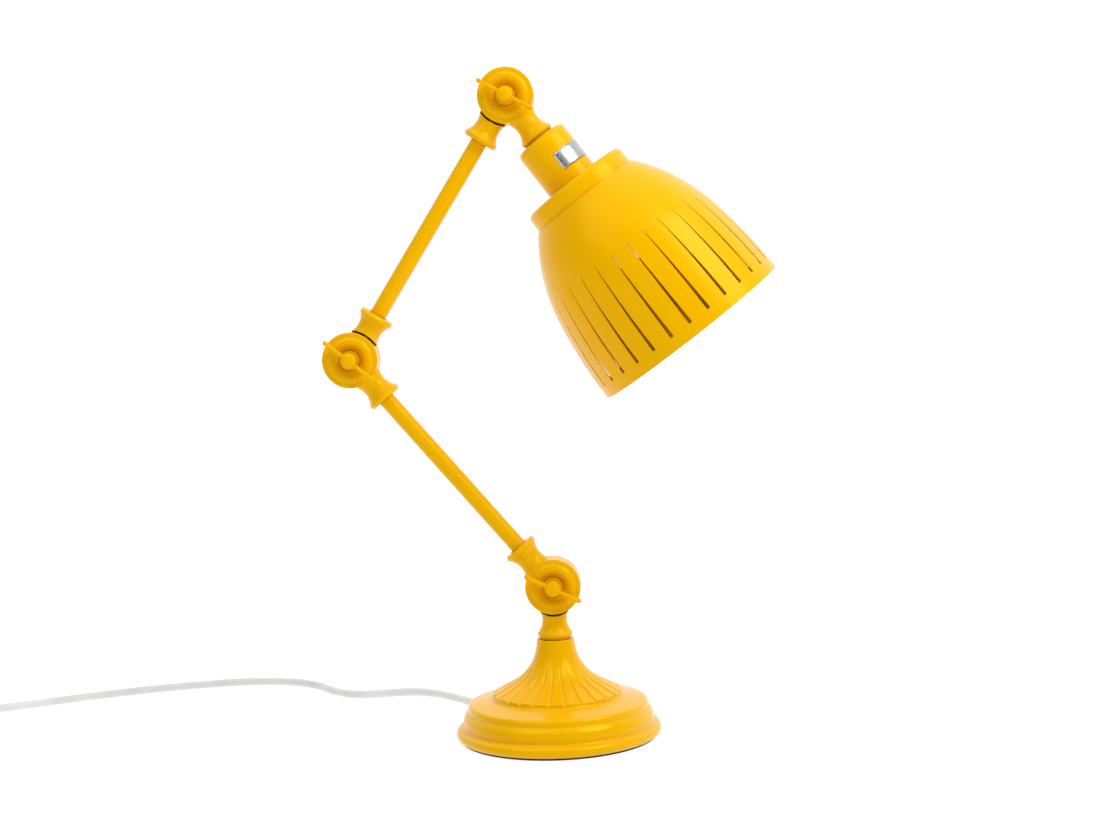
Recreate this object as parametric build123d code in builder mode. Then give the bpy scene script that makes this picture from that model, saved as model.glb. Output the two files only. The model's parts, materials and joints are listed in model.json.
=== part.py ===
"""Articulated desk lamp: fluted cast base, two swing arms on clamped disc knuckles, slotted bell shade.

Millimetres. The origin is on the resting plane, on the axis of the base. +Z is up, the lamp
folds in the XZ plane, and its knuckles turn about axes along Y. The wing screws face -Y.
"""

import os
from math import asin, ceil, cos, pi, radians, sin, sqrt, tan

from build123d import *

os.makedirs("parts", exist_ok=True)

# Clearances
SEAT_GAP = 0.1  # between faces that are clamped or turn on each other
FIT_GAP = 0.1  # radial, round a screw, nipple or tube in its hole

# Knuckles: two discs face to face, each with a turned stem in the middle plane
DISC_R = 21.2
DISC_HALF = 11.2  # from the middle plane to the flat border of a disc
DISC_EDGE = 0.8
FACE_GAP = 0.7  # between the two discs, filled by the friction washer
BEAD_R = 14.0  # crest circle of the raised ring on each disc
BEAD_HALF_W = 3.7
BEAD_H = 1.7
RECESS_R = 8.2
RECESS_DEPTH = 1.9
CHAMBER_R = 15.5
CHAMBER_DEPTH = 6.4
BOSS_R = 6.0
SADDLE_GAP = 1.7  # between a stem and the edge of the other disc

# Stems, measured along the arm from the knuckle's axis
STEM_ROOT = 10.0
STEM_R = 10.9
MOUTH_AT = 20.0
WAIST_AT = 27.0
WAIST_R = 9.5
FLANGE_AT = 35.8
FLANGE_R = 13.5
STEM_LEN = 39.8
STEM_END_R = 12.3
RING_R = 12.2
RING_T = 1.2

# Wing screws
SCREW_R = 3.0
WASHER_R = 7.4
WASHER_T = 1.2
HUB_NECK_R = 4.8
HUB_R = 6.05
HUB_H = 13.4
DOME_H = 1.2
WING_SPAN = 47.5
WING_T = 2.5
WING_TIP_R = 1.7
WING_H = 7.4
WING_ROUND = 0.8

# Arms
TUBE_R = 6.35
TUBE_WALL = 1.0
ARM_LEN = 231.6  # between knuckle axes
SOCKET_DEPTH = 9.0
MOUTH_RECESS = 1.2
MOUTH_RECESS_R = 7.6
LEAD_R = 2.0

# Threaded nipples that carry the base stem and the head
NIPPLE_R = 5.0
NIPPLE_BORE_R = 3.7
NUT_R = 8.5
NUT_T = 3.5

# Attitude in the picture, degrees from +X towards +Z
LOWER_ANGLE = 129.4
UPPER_ANGLE = 56.95
HEAD_ANGLE = -54.0
LOW_WING_ANGLE = -26.4
MID_WING_ANGLE = -39.7
TOP_WING_ANGLE = -29.6

# Base
PAD_T = 1.2
FOOT_ROLL_R = 79.0
PAD_R = FOOT_ROLL_R - 4.0
FOOT_ROLL_TOP = 10.5
MID_ROLL_R = FOOT_ROLL_R - 5.6
MID_ROLL_TOP = 22.0
TIER_R = MID_ROLL_R - 4.1
TIER_TOP = 28.2
TIER_ROUND = 3.2
ROLL_STEP = 2.8
PLATE_RISE = 3.8
FLUTE_FOOT_R = 50.0
FLUTE_FOOT_ROUND = 1.6
FOOT_COVE = 3.2
CONE_TOP = 76.5
CONE_TOP_R = 14.2
CONE_TOP_ROUND = 0.8
CONE_NECK_H = 6.1
CONE_DRAFT = 8.3  # degrees from vertical
CONE_ARC_R = 36.5
CONE_SLOPE = 62.5  # degrees from vertical where the sweep ends
BASE_WALL = 2.6
FLUTES = 26
FLUTE_R = 1.9
FLUTE_DEPTH = 1.0
FLUTE_ARC_R = 30.5
FLUTE_START = 22.0  # degrees from vertical on the flute's own arc
FLUTE_TURN = 7.6  # degrees from the front to the first flute
WEIGHT_R = TIER_R - 5.3
WEIGHT_T = 13.0
WEIGHT_POCKET = 6.0

# Head, measured along its axis from the top knuckle
CUP_R = 20.7
CUP_WALL = 1.2
CUP_LEN = 40.0
CUP_ROUND = 4.0
SHADE_SEAT = 82.0
SKIN = 0.8
COLLAR_STEP = 1.57  # from the collar out to the bell
COLLAR_ROUND = 4.0
COLLAR_END = 96.2
RIM_AT = 226.3
RIM_R = 80.5
RIM_DRAFT = 0.45
BELL_SIDE_R = 372.6
BELL_JOIN_AT = 156.9
BELL_SHOULDER_R = 138.0
SLOTS = 30
SLOT_TIP_AT = 143.0
SLOT_END_AT = 217.0
SLOT_W = 2.9
SLOT_TIP_W = 0.3
SLOT_TURN = 1.7
HOLDER_AT = 50.0
HOLDER_CAP_R = 13.0
HOLDER_SHOULDER_R = 18.8
HOLDER_SHOULDER_T = 1.8
HOLDER_SKIRT_R = 13.9
HOLDER_END = 103.0
HOLDER_FLOOR = 58.0
SHADE_RING_R = 21.0
SHADE_RING_T = 4.5
BULB_R = 22.5
BULB_CAP_R = 6.8
BULB_CAP_LEN = 24.0
BULB_CENTRE_GAP = 33.0
BULB_NECK_R = 8.6

# Cord, its switch and its plug
CORD_R = 3.25
EXIT_ANGLE = 127.0
EXIT_Z = 6.0
GLAND_R = 4.5
GLAND_COLLAR_R = 5.5
GLAND_COLLAR_T = 2.0
BOOT_LEN = 26.0
BOOT_ROOT_R = 4.7
BOOT_TIP_R = 3.8
SWITCH_X = -510.0
SWITCH_Y = 64.0
SWITCH_L = 60.0
SWITCH_W = 27.0
SWITCH_H = 17.0
SWITCH_SPLIT = 8.0
SWITCH_WALL = 2.2
SWITCH_COLLAR_R = 4.8
SWITCH_COLLAR_L = 5.0
SWITCH_CORD_Z = 7.0
WINDOW_L = 22.6
WINDOW_W = 14.0
ROCKER_L = 20.0
ROCKER_W = 13.2
ROCKER_TILT = 7.0
ROCKER_PIVOT_Z = 10.5
ROCKER_PIN_R = 1.4
COIL_R = 44.2
COIL_PITCH = 7.0
COIL_LIFT = 0.9
COIL_TURNS = 4.5
COIL_CLIMB_FROM = 2.0
TIE_T = 0.6
TIE_W = 5.0
PLUG_L = 36.0
PLUG_W = 35.3
PLUG_T = 13.7
PIN_R = 2.0
PIN_LEN = 19.0
PIN_SPACING = 18.6
PLUG_BOOT_L = 22.0


def heading(angle):
    """Unit vector in the XZ plane, angle in degrees from +X towards +Z."""
    return Vector(cos(radians(angle)), 0, sin(radians(angle)))


def along(knuckle, angle):
    """Plane whose x runs along an arm from its knuckle and whose y is the radius in the XZ plane."""
    return Plane(origin=knuckle, x_dir=heading(angle), z_dir=(0, -1, 0))


def across(knuckle, angle, distance):
    """Plane square to an arm at a distance from its knuckle, its y towards the front of the lamp."""
    direction = heading(angle)
    side = Vector(0, -1, 0).cross(direction)
    return Plane(origin=knuckle + direction * distance, x_dir=side, z_dir=direction)


def disc_plane(knuckle):
    """Plane for disc profiles: x is the radius and y the lamp's own Y."""
    return Plane(origin=knuckle, x_dir=(1, 0, 0), z_dir=(0, 0, 1))


def save(piece, name):
    """Label a finished piece and write it."""
    piece.part.label = name
    export_step(piece.part, f"parts/{name}.step")


def circle_point(centre, radius, at):
    """Height of a circle above a station along the axis, on its outer side."""
    return centre[1] + sqrt(radius**2 - (at - centre[0]) ** 2)


# Knuckle places
LOW = Vector(0, 0, CONE_TOP + RING_T + STEM_LEN)
MID = LOW + heading(LOWER_ANGLE) * ARM_LEN
TOP = MID + heading(UPPER_ANGLE) * ARM_LEN
Y_AXIS = (0, 1, 0)
MATING = FACE_GAP / 2
BEAD_OUT = BEAD_R + BEAD_HALF_W
BEAD_IN = BEAD_R - BEAD_HALF_W
RECESS_FLOOR = DISC_HALF - RECESS_DEPTH
TUBE_BORE_R = TUBE_R - TUBE_WALL
SCREW_END = RECESS_FLOOR + WASHER_T + 2 * SEAT_GAP


# Knuckle castings: side is -1 for the front disc and +1 for the rear one
def knuckle_casting(name, knuckle, angle, side, socket_r, passage_r, mouth_r):
    pin_r = SCREW_R + (FIT_GAP if side > 0 else 3 * FIT_GAP)
    axis = Axis(tuple(knuckle), Y_AXIS)
    arm_axis = Axis(tuple(knuckle), tuple(heading(angle)))
    with BuildPart() as casting:
        # Disc with a rounded edge, a raised ring and a recess for the washer
        with BuildSketch(disc_plane(knuckle)):
            with BuildLine():
                Polyline(
                    (DISC_R - DISC_EDGE, side * DISC_HALF),
                    (BEAD_OUT, side * DISC_HALF),
                )
                ThreePointArc(
                    (BEAD_OUT, side * DISC_HALF),
                    (BEAD_R, side * (DISC_HALF + BEAD_H)),
                    (BEAD_IN, side * DISC_HALF),
                )
                Polyline(
                    (BEAD_IN, side * DISC_HALF),
                    (RECESS_R, side * RECESS_FLOOR),
                    (0, side * RECESS_FLOOR),
                    (0, side * MATING),
                    (DISC_R, side * MATING),
                    (DISC_R, side * (DISC_HALF - DISC_EDGE)),
                )
                RadiusArc(
                    (DISC_R, side * (DISC_HALF - DISC_EDGE)),
                    (DISC_R - DISC_EDGE, side * DISC_HALF),
                    -side * DISC_EDGE,
                )
            make_face()
        revolve(axis=axis)
        # Stem, turned like a spool about the arm
        with BuildSketch(along(knuckle, angle)):
            with BuildLine():
                Polyline((STEM_ROOT, 0), (STEM_ROOT, STEM_R), (MOUTH_AT, STEM_R))
                ThreePointArc(
                    (MOUTH_AT, STEM_R),
                    (WAIST_AT, WAIST_R),
                    (FLANGE_AT, FLANGE_R - 0.7),
                )
                ThreePointArc(
                    (FLANGE_AT, FLANGE_R - 0.7),
                    (FLANGE_AT + 1.4, FLANGE_R),
                    (FLANGE_AT + 2.8, FLANGE_R - 0.5),
                )
                Polyline(
                    (FLANGE_AT + 2.8, FLANGE_R - 0.5),
                    (STEM_LEN, STEM_END_R),
                    (STEM_LEN, 0),
                    (STEM_ROOT, 0),
                )
            make_face()
        revolve(axis=arm_axis)
        # Saddle round the other disc
        with BuildSketch(Plane(origin=knuckle, x_dir=(1, 0, 0), z_dir=(0, -side, 0)).offset(-MATING)):
            Circle(DISC_R + SADDLE_GAP)
        extrude(amount=MATING + FLANGE_R + 1, mode=Mode.SUBTRACT)
        # Wire chamber round the boss
        with BuildSketch(Plane(origin=knuckle, x_dir=(1, 0, 0), z_dir=(0, side, 0)).offset(MATING)):
            Circle(CHAMBER_R)
            Circle(BOSS_R, mode=Mode.SUBTRACT)
        extrude(amount=CHAMBER_DEPTH, mode=Mode.SUBTRACT)
        # Screw hole
        with BuildSketch(Plane(origin=knuckle, x_dir=(1, 0, 0), z_dir=(0, side, 0))):
            Circle(pin_r)
        extrude(amount=DISC_HALF, mode=Mode.SUBTRACT)
        # Socket for the tube or nipple, and the wire's way from it into the chamber
        with BuildSketch(across(knuckle, angle, STEM_LEN)):
            Circle(mouth_r)
        extrude(amount=-MOUTH_RECESS, mode=Mode.SUBTRACT)
        with BuildSketch(across(knuckle, angle, STEM_LEN)):
            Circle(socket_r)
        extrude(amount=-SOCKET_DEPTH, mode=Mode.SUBTRACT)
        with BuildSketch(across(knuckle, angle, STEM_LEN)):
            Circle(passage_r)
        extrude(amount=-(STEM_LEN - (CHAMBER_R + BOSS_R) / 2), mode=Mode.SUBTRACT)
    save(casting, name)


ARM_SOCKET = (TUBE_R + FIT_GAP, TUBE_BORE_R - 0.35, MOUTH_RECESS_R)
NIPPLE_SOCKET = (NIPPLE_R + FIT_GAP, NIPPLE_BORE_R, NIPPLE_R + FIT_GAP)

knuckle_casting("base_knuckle", LOW, -90, 1, *NIPPLE_SOCKET)
knuckle_casting("lower_arm_bottom_knuckle", LOW, LOWER_ANGLE, -1, *ARM_SOCKET)
knuckle_casting("lower_arm_top_knuckle", MID, LOWER_ANGLE + 180, -1, *ARM_SOCKET)
knuckle_casting("upper_arm_bottom_knuckle", MID, UPPER_ANGLE, 1, *ARM_SOCKET)
knuckle_casting("upper_arm_top_knuckle", TOP, UPPER_ANGLE + 180, 1, *ARM_SOCKET)
knuckle_casting("head_knuckle", TOP, HEAD_ANGLE, -1, *NIPPLE_SOCKET)

# Friction washers between the discs, and plain washers under the wing screws
for place, knuckle, wing_angle in (
    ("low", LOW, LOW_WING_ANGLE),
    ("mid", MID, MID_WING_ANGLE),
    ("top", TOP, TOP_WING_ANGLE),
):
    facing = Plane(origin=knuckle, x_dir=(1, 0, 0), z_dir=(0, -1, 0))
    with BuildPart() as friction_washer:
        with BuildSketch(facing.offset(-MATING + SEAT_GAP)):
            Circle(DISC_R - 1.6)
            Circle(CHAMBER_R, mode=Mode.SUBTRACT)
        extrude(amount=FACE_GAP - 2 * SEAT_GAP)
    save(friction_washer, f"{place}_friction_washer")

    with BuildPart() as washer:
        with BuildSketch(facing.offset(RECESS_FLOOR)):
            Circle(WASHER_R)
            Circle(SCREW_R + 3 * FIT_GAP, mode=Mode.SUBTRACT)
        extrude(amount=WASHER_T)
    save(washer, f"{place}_washer")

    # Wing screw: shank, waisted hub with a domed end, two thin wings with beaded tips
    hub_at = RECESS_FLOOR + WASHER_T + SEAT_GAP
    hub_end = hub_at + HUB_H
    wing_low = hub_end - 1.2 - WING_H
    wing_mid = hub_end - 1.2 - WING_H / 2
    half_span = WING_SPAN / 2
    tip_from = half_span - WING_H / 2
    dome_r = ((HUB_R - 0.9) ** 2 + DOME_H**2) / (2 * DOME_H)
    dome_half = asin((HUB_R - 0.9) / dome_r) / 2
    wing_top = hub_end - 1.2
    with BuildPart() as wing_screw:
        wings = Plane(origin=knuckle, x_dir=heading(wing_angle), z_dir=heading(wing_angle - 90))
        with BuildSketch(wings):
            with BuildLine():
                Polyline((-tip_from, wing_low), (0, wing_low - 1.8), (tip_from, wing_low))
                ThreePointArc((tip_from, wing_low), (half_span, wing_mid), (tip_from, wing_top))
                Polyline(
                    (tip_from, wing_top),
                    (HUB_R, wing_top - 1.4),
                    (-HUB_R, wing_top - 1.4),
                    (-tip_from, wing_top),
                )
                ThreePointArc((-tip_from, wing_top), (-half_span, wing_mid), (-tip_from, wing_low))
            make_face()
        extrude(amount=WING_T / 2, both=True)
        fillet(wing_screw.edges(), WING_ROUND)
        for turn in (1, -1):
            bead_at = knuckle + heading(wing_angle) * (turn * (half_span - WING_TIP_R - 0.4))
            with BuildSketch(Plane(origin=bead_at, z_dir=(0, -1, 0)).offset(wing_mid - WING_H / 4)):
                Circle(WING_TIP_R)
            extrude(amount=WING_H / 2)
        with BuildSketch(disc_plane(knuckle)):
            with BuildLine():
                Polyline(
                    (0, SCREW_END),
                    (SCREW_R - 0.6, SCREW_END),
                    (SCREW_R, SCREW_END - 0.6),
                    (SCREW_R, -hub_at),
                    (HUB_NECK_R, -hub_at),
                    (HUB_NECK_R, -hub_at - 2.4),
                )
                ThreePointArc(
                    (HUB_NECK_R, -hub_at - 2.4),
                    (HUB_R, -hub_at - HUB_H * 0.55),
                    (HUB_R - 0.9, -hub_end + DOME_H),
                )
                ThreePointArc(
                    (HUB_R - 0.9, -hub_end + DOME_H),
                    (dome_r * sin(dome_half), -hub_end + dome_r * (1 - cos(dome_half))),
                    (0, -hub_end),
                )
                Line((0, -hub_end), (0, SCREW_END))
            make_face()
        revolve(axis=Axis(tuple(knuckle), Y_AXIS))
    save(wing_screw, f"{place}_wing_screw")


# Arm tubes and the leads inside them
def arm(name, start, angle, side):
    run = ARM_LEN - 2 * (STEM_LEN - SOCKET_DEPTH)
    with BuildPart() as tube:
        with BuildSketch(across(start, angle, STEM_LEN - SOCKET_DEPTH)):
            Circle(TUBE_R)
            Circle(TUBE_BORE_R, mode=Mode.SUBTRACT)
        extrude(amount=run)
    save(tube, f"{name}_tube")

    lead_from = CHAMBER_R - LEAD_R - 1
    with BuildPart() as lead:
        with BuildSketch(across(start, angle, lead_from)):
            with Locations((0, -side * (TUBE_BORE_R - 0.35 - LEAD_R - 0.3))):
                Circle(LEAD_R)
        extrude(amount=ARM_LEN - 2 * lead_from)
    save(lead, f"{name}_lead")


arm("lower_arm", LOW, LOWER_ANGLE, -1)
arm("upper_arm", MID, UPPER_ANGLE, 1)

# Base casting: stepped rim, raised plate and fluted trumpet, hollow below
draft = radians(CONE_DRAFT)
slope = radians(CONE_SLOPE)
neck_end = (CONE_TOP_R + CONE_NECK_H * tan(draft), CONE_TOP - CONE_NECK_H)
arc_centre = (neck_end[0] + CONE_ARC_R * cos(draft), neck_end[1] + CONE_ARC_R * sin(draft))


def sweep_point(angle, offset):
    """Point of the trumpet's arc, angle from vertical in radians, offset into the casting."""
    reach = CONE_ARC_R + offset
    return (arc_centre[0] - reach * cos(angle), arc_centre[1] - reach * sin(angle))


def slope_point(radius, offset):
    """Point of the straight slope below the arc at a radius, offset into the casting."""
    start = sweep_point(slope, offset)
    return (radius, start[1] - (radius - start[0]) / tan(slope))


def flute_point(angle):
    """Point of a flute's own arc, which leaves the trumpet towards its throat."""
    start = sweep_point(slope, FLUTE_DEPTH - FLUTE_R)
    return (
        start[0] + FLUTE_ARC_R * (cos(slope) - cos(angle)),
        start[1] + FLUTE_ARC_R * (sin(slope) - sin(angle)),
    )


plate_inner_z = TIER_TOP + PLATE_RISE
plate_fall = PLATE_RISE / (TIER_R - TIER_ROUND - FLUTE_FOOT_R)
cove_z = plate_inner_z - FOOT_COVE * plate_fall
foot_top = slope_point(FLUTE_FOOT_R - FLUTE_FOOT_ROUND, 0)
cove_top = foot_top[1] - FLUTE_FOOT_ROUND - 0.3
with BuildPart() as base_casting:
    with BuildSketch(Plane.XZ):
        with BuildLine():
            Line((0, PAD_T), (FOOT_ROLL_R - 4.0, PAD_T))
            ThreePointArc(
                (FOOT_ROLL_R - 4.0, PAD_T),
                (FOOT_ROLL_R, (PAD_T + FOOT_ROLL_TOP) / 2 - 0.4),
                (FOOT_ROLL_R - 3.6, FOOT_ROLL_TOP - 0.6),
            )
            ThreePointArc(
                (FOOT_ROLL_R - 3.6, FOOT_ROLL_TOP - 0.6),
                (MID_ROLL_R + 0.35, FOOT_ROLL_TOP + 0.1),
                (MID_ROLL_R - 0.2, FOOT_ROLL_TOP + 1.7),
            )
            ThreePointArc(
                (MID_ROLL_R - 0.2, FOOT_ROLL_TOP + 1.7),
                (MID_ROLL_R - 0.2, FOOT_ROLL_TOP + 6.3),
                (TIER_R + 1.4, MID_ROLL_TOP - 0.4),
            )
            ThreePointArc(
                (TIER_R + 1.4, MID_ROLL_TOP - 0.4),
                (TIER_R + 0.4, MID_ROLL_TOP + 0.5),
                (TIER_R, MID_ROLL_TOP + 1.9),
            )
            Line((TIER_R, MID_ROLL_TOP + 1.9), (TIER_R, TIER_TOP - TIER_ROUND))
            RadiusArc((TIER_R, TIER_TOP - TIER_ROUND), (TIER_R - TIER_ROUND, TIER_TOP), -TIER_ROUND)
            Line((TIER_R - TIER_ROUND, TIER_TOP), (FLUTE_FOOT_R + FOOT_COVE, cove_z))
            ThreePointArc(
                (FLUTE_FOOT_R + FOOT_COVE, cove_z),
                (FLUTE_FOOT_R + FOOT_COVE * 0.32, cove_z + (cove_top - cove_z) * 0.35),
                (FLUTE_FOOT_R, cove_top),
            )
            Line((FLUTE_FOOT_R, cove_top), (FLUTE_FOOT_R, foot_top[1] - FLUTE_FOOT_ROUND))
            RadiusArc((FLUTE_FOOT_R, foot_top[1] - FLUTE_FOOT_ROUND), foot_top, -FLUTE_FOOT_ROUND)
            Line(foot_top, sweep_point(slope, 0))
            ThreePointArc(sweep_point(slope, 0), sweep_point((slope + draft) / 2, 0), neck_end)
            Line(neck_end, (CONE_TOP_R + CONE_TOP_ROUND * tan(draft), CONE_TOP - CONE_TOP_ROUND))
            ThreePointArc(
                (CONE_TOP_R + CONE_TOP_ROUND * tan(draft), CONE_TOP - CONE_TOP_ROUND),
                (CONE_TOP_R - CONE_TOP_ROUND * 0.25, CONE_TOP - CONE_TOP_ROUND * 0.3),
                (CONE_TOP_R - CONE_TOP_ROUND, CONE_TOP),
            )
            Polyline((CONE_TOP_R - CONE_TOP_ROUND, CONE_TOP), (0, CONE_TOP), (0, PAD_T))
        make_face()
    revolve(axis=Axis.Z)
    # Flutes that start on the trumpet's throat and run out over its foot
    flute_lift = FLUTE_R - FLUTE_DEPTH
    low_point = slope_point(FLUTE_FOOT_R + 3, -flute_lift)
    turn_point = sweep_point(slope, -flute_lift)
    start_angle = radians(FLUTE_START)
    for number in range(FLUTES):
        spin = FLUTE_TURN - 90 + number * 360 / FLUTES
        meridian = Plane(
            origin=(0, 0, 0),
            x_dir=(cos(radians(spin)), sin(radians(spin)), 0),
            z_dir=(sin(radians(spin)), -cos(radians(spin)), 0),
        )
        with BuildLine(meridian) as flute_path:
            Line(low_point, turn_point)
            ThreePointArc(
                turn_point,
                flute_point((slope + start_angle) / 2),
                flute_point(start_angle),
            )
        with BuildSketch(Plane(flute_path.wire() @ 0, z_dir=flute_path.wire() % 0)):
            Circle(FLUTE_R)
        sweep(path=flute_path.wire(), mode=Mode.SUBTRACT)
    # Hollow underside that follows the outside at the wall's thickness
    with BuildSketch(Plane.XZ):
        roof = CONE_TOP - 1.4 * BASE_WALL
        inner_arc_top = sweep_point(draft, BASE_WALL)
        inner_foot_r = FLUTE_FOOT_R - 1.0
        with BuildLine():
            Polyline(
                (0, 0),
                (MID_ROLL_R - ROLL_STEP - 1.6, 0),
                (MID_ROLL_R - ROLL_STEP - 1.6, FOOT_ROLL_TOP - 0.5),
                (TIER_R - BASE_WALL, FOOT_ROLL_TOP + 2.5),
                (TIER_R - BASE_WALL, TIER_TOP - BASE_WALL),
                (inner_foot_r, plate_inner_z - BASE_WALL),
                slope_point(inner_foot_r, BASE_WALL),
                sweep_point(slope, BASE_WALL),
            )
            ThreePointArc(
                sweep_point(slope, BASE_WALL),
                sweep_point((slope + draft) / 2, BASE_WALL),
                inner_arc_top,
            )
            Polyline(inner_arc_top, (inner_arc_top[0], roof), (0, roof), (0, 0))
        make_face()
    revolve(axis=Axis.Z, mode=Mode.SUBTRACT)
    # Nipple hole in the top and gland hole in the rear of the rim
    with BuildSketch(Plane.XY.offset(CONE_TOP)):
        Circle(NIPPLE_R + FIT_GAP)
    extrude(amount=-2 * BASE_WALL, mode=Mode.SUBTRACT)
    exit_dir = Vector(cos(radians(EXIT_ANGLE)), sin(radians(EXIT_ANGLE)), 0)
    gland_from = MID_ROLL_R - ROLL_STEP - 4
    with BuildSketch(Plane(exit_dir * gland_from + Vector(0, 0, EXIT_Z), z_dir=exit_dir)):
        Circle(GLAND_R + FIT_GAP)
    extrude(amount=FOOT_ROLL_R - gland_from + 1, mode=Mode.SUBTRACT)
save(base_casting, "base_casting")

with BuildPart() as base_pad:
    with BuildSketch():
        Circle(PAD_R)
    extrude(amount=PAD_T)
save(base_pad, "base_pad")

# Iron weight, clamped up against the plate by the nut on the nipple
weight_top = plate_inner_z - BASE_WALL - (WEIGHT_R - inner_foot_r) * (PLATE_RISE) / (
    TIER_R - BASE_WALL - inner_foot_r
) - SEAT_GAP
weight_bottom = weight_top - WEIGHT_T
nut_top = weight_bottom + WEIGHT_POCKET - SEAT_GAP
with BuildPart() as base_weight:
    with BuildSketch(Plane.XY.offset(weight_bottom)):
        Circle(WEIGHT_R)
        Circle(NIPPLE_R + FIT_GAP, mode=Mode.SUBTRACT)
    extrude(amount=WEIGHT_T)
    with BuildSketch(Plane.XY.offset(weight_bottom)):
        Circle(NUT_R + 4)
    extrude(amount=WEIGHT_POCKET, mode=Mode.SUBTRACT)
    chamfer(base_weight.edges().filter_by(GeomType.CIRCLE).sort_by(SortBy.RADIUS)[-2:], 1)
save(base_weight, "base_weight")

nipple_bottom = nut_top - NUT_T - 0.6
nipple_top = CONE_TOP + RING_T + SOCKET_DEPTH - SEAT_GAP
with BuildPart() as base_nipple:
    with BuildSketch(Plane.XY.offset(nipple_bottom)):
        Circle(NIPPLE_R)
        Circle(NIPPLE_BORE_R, mode=Mode.SUBTRACT)
    extrude(amount=nipple_top - nipple_bottom)
save(base_nipple, "base_nipple")

with BuildPart() as base_nut:
    with BuildSketch(Plane.XY.offset(nut_top)):
        RegularPolygon(NUT_R, 6)
        Circle(NIPPLE_R + FIT_GAP, mode=Mode.SUBTRACT)
    extrude(amount=-NUT_T)
save(base_nut, "base_nut")

for name, plane in (
    ("neck_ring", Plane.XY.offset(CONE_TOP)),
    ("head_ring", across(TOP, HEAD_ANGLE, STEM_LEN)),
):
    with BuildPart() as ring:
        with BuildSketch(plane):
            Circle(RING_R)
            Circle(NIPPLE_R + FIT_GAP, mode=Mode.SUBTRACT)
        extrude(amount=RING_T)
        chamfer(ring.edges().filter_by(GeomType.CIRCLE).sort_by(SortBy.RADIUS)[-2:], 0.4)
    save(ring, name)

# Gland in the rim with its tapered boot, and the lead from it up the nipple
gland_inner = MID_ROLL_R - ROLL_STEP - 1.6
gland_tip = FOOT_ROLL_R + GLAND_COLLAR_T + BOOT_LEN
gland_plane = Plane(
    origin=(0, 0, EXIT_Z), x_dir=exit_dir, z_dir=exit_dir.cross(Vector(0, 0, 1))
)
with BuildPart() as cord_gland:
    with BuildSketch(gland_plane):
        with BuildLine():
            Polyline(
                (gland_inner, 0),
                (gland_inner, GLAND_R),
                (FOOT_ROLL_R + 0.1, GLAND_R),
                (FOOT_ROLL_R + 0.1, GLAND_COLLAR_R),
                (FOOT_ROLL_R + GLAND_COLLAR_T, GLAND_COLLAR_R),
                (FOOT_ROLL_R + GLAND_COLLAR_T, BOOT_ROOT_R),
                (gland_tip, BOOT_TIP_R),
                (gland_tip, 0),
                (gland_inner, 0),
            )
        make_face()
    revolve(axis=Axis((0, 0, EXIT_Z), tuple(exit_dir)))
save(cord_gland, "cord_gland")

lead_bend = 8.0
with BuildPart() as base_lead:
    with BuildLine() as lead_path:
        FilletPolyline(
            exit_dir * gland_inner + Vector(0, 0, EXIT_Z),
            (0, 0, EXIT_Z),
            (0, 0, LOW.Z - DISC_R - 2),
            radius=lead_bend,
        )
    with BuildSketch(Plane(lead_path.wire() @ 0, z_dir=lead_path.wire() % 0)):
        Circle(LEAD_R)
    sweep(path=lead_path.wire())
save(base_lead, "base_lead")

# Head: cup, nipple and nut, lampholder, shade with its ring, and the bulb
head_plane = along(TOP, HEAD_ANGLE)
head_axis = Axis(tuple(TOP), tuple(heading(HEAD_ANGLE)))
cup_at = STEM_LEN + RING_T
cup_end = cup_at + CUP_LEN
with BuildPart() as socket_cup:
    with BuildSketch(head_plane):
        with BuildLine():
            Line((cup_at, NIPPLE_R + FIT_GAP), (cup_at, CUP_R - CUP_ROUND))
            RadiusArc((cup_at, CUP_R - CUP_ROUND), (cup_at + CUP_ROUND, CUP_R), CUP_ROUND)
            Polyline(
                (cup_at + CUP_ROUND, CUP_R),
                (cup_end, CUP_R),
                (cup_end, CUP_R - CUP_WALL),
                (cup_at + CUP_ROUND, CUP_R - CUP_WALL),
            )
            RadiusArc(
                (cup_at + CUP_ROUND, CUP_R - CUP_WALL),
                (cup_at + CUP_WALL, CUP_R - CUP_ROUND),
                -(CUP_ROUND - CUP_WALL),
            )
            Polyline(
                (cup_at + CUP_WALL, CUP_R - CUP_ROUND),
                (cup_at + CUP_WALL, NIPPLE_R + FIT_GAP),
                (cup_at, NIPPLE_R + FIT_GAP),
            )
        make_face()
    revolve(axis=head_axis)
save(socket_cup, "socket_cup")

head_nipple_at = STEM_LEN - SOCKET_DEPTH + SEAT_GAP
head_nipple_end = HOLDER_AT + 6
with BuildPart() as head_nipple:
    with BuildSketch(across(TOP, HEAD_ANGLE, head_nipple_at)):
        Circle(NIPPLE_R)
        Circle(NIPPLE_BORE_R, mode=Mode.SUBTRACT)
    extrude(amount=head_nipple_end - head_nipple_at)
save(head_nipple, "head_nipple")

with BuildPart() as head_nut:
    with BuildSketch(across(TOP, HEAD_ANGLE, cup_at + CUP_WALL + SEAT_GAP)):
        RegularPolygon(NUT_R, 6)
        Circle(NIPPLE_R + FIT_GAP, mode=Mode.SUBTRACT)
    extrude(amount=NUT_T)
save(head_nut, "head_nut")

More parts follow.
